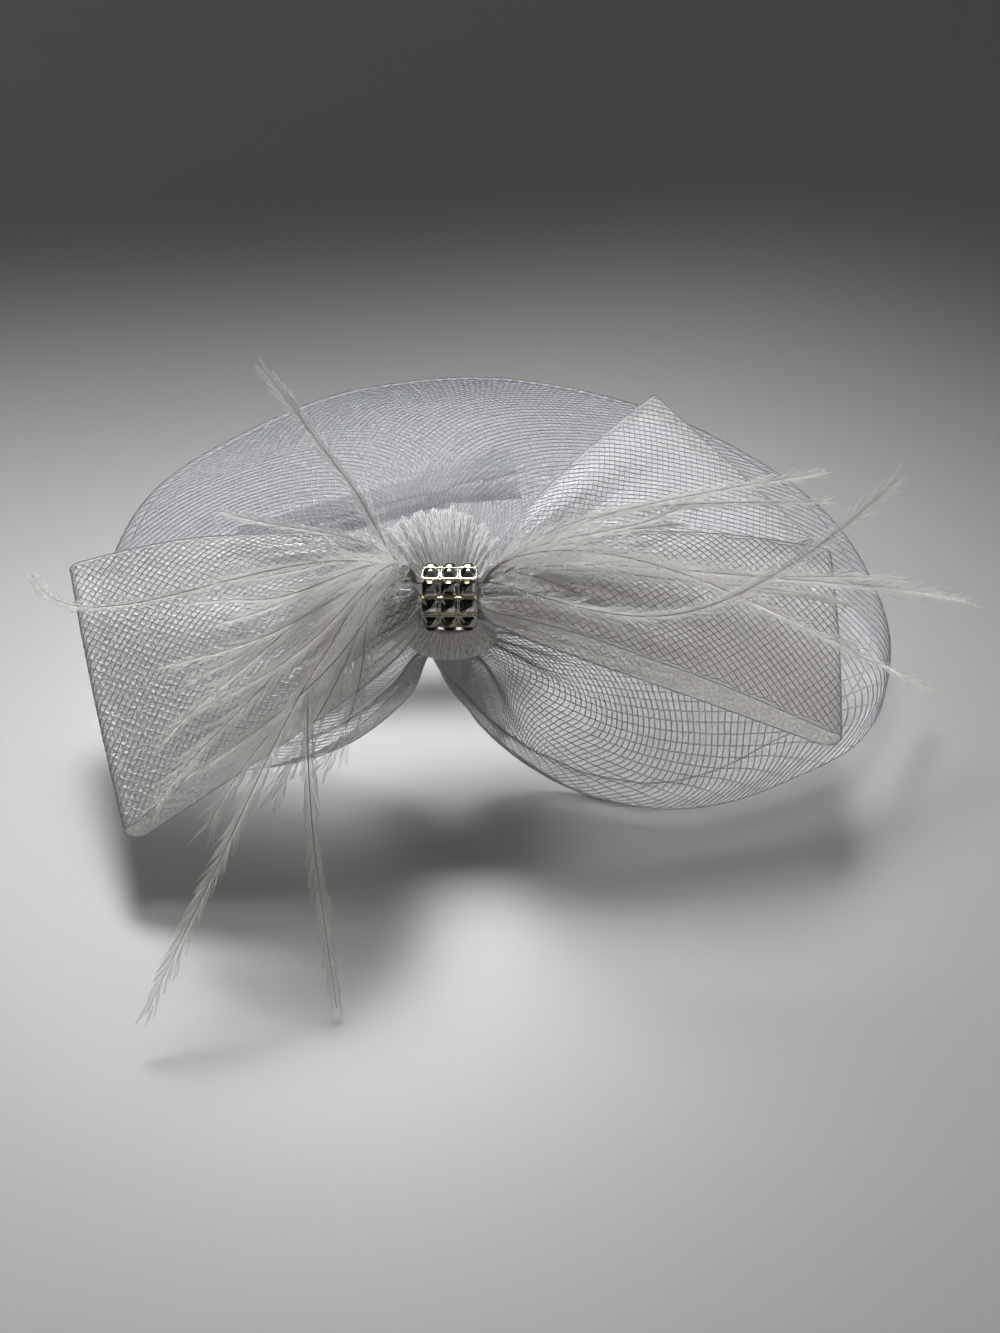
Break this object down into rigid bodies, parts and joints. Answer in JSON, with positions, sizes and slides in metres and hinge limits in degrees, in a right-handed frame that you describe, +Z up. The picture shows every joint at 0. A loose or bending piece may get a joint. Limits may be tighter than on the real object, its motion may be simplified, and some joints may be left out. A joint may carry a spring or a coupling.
{
  "type": "feather fascinator with crinoline dome, bow loops and hair clip",
  "caption": "Hollow crinoline headpiece dome with folded bow loops and feathers tied by a ring of cut stones, over a sprung hair clip.",
  "frame": {"origin": "middle of the footprint on the table it lies on", "axes": "+X to the right as seen from the front, +Y to the back, +Z up"},
  "size_m": [0.245, 0.2266, 0.0866],
  "materials": {
    "crinoline": "satin white open mesh",
    "stones": "foil backed cut stones in a bright metal strip",
    "feather": "matte off white",
    "clip_metal": "dark steel"
  },
  "bodies": {
    "fascinator": {"crin_body": "crinoline", "loop_left": "crinoline", "loop_right": "crinoline", "loop_back": "crinoline", "rhinestone_band": "stones", "feathers_left": "feather", "feathers_right": "feather", "clip_base": "clip_metal", "clip_pin": "clip_metal"},
    "clip_jaw_arm": {"clip_jaw": "clip_metal"}
  },
  "joints": [
    {"name": "clip_hinge", "type": "hinge", "parent": "fascinator", "child": "clip_jaw_arm", "pos_m": [-0.01571, 0.03693, 0.0413], "axis": [0.225, -0.9744, 0], "range_deg": [0, 20], "stiffness_Nm_per_rad": 0.02, "springref_deg": -20.05}
  ]
}
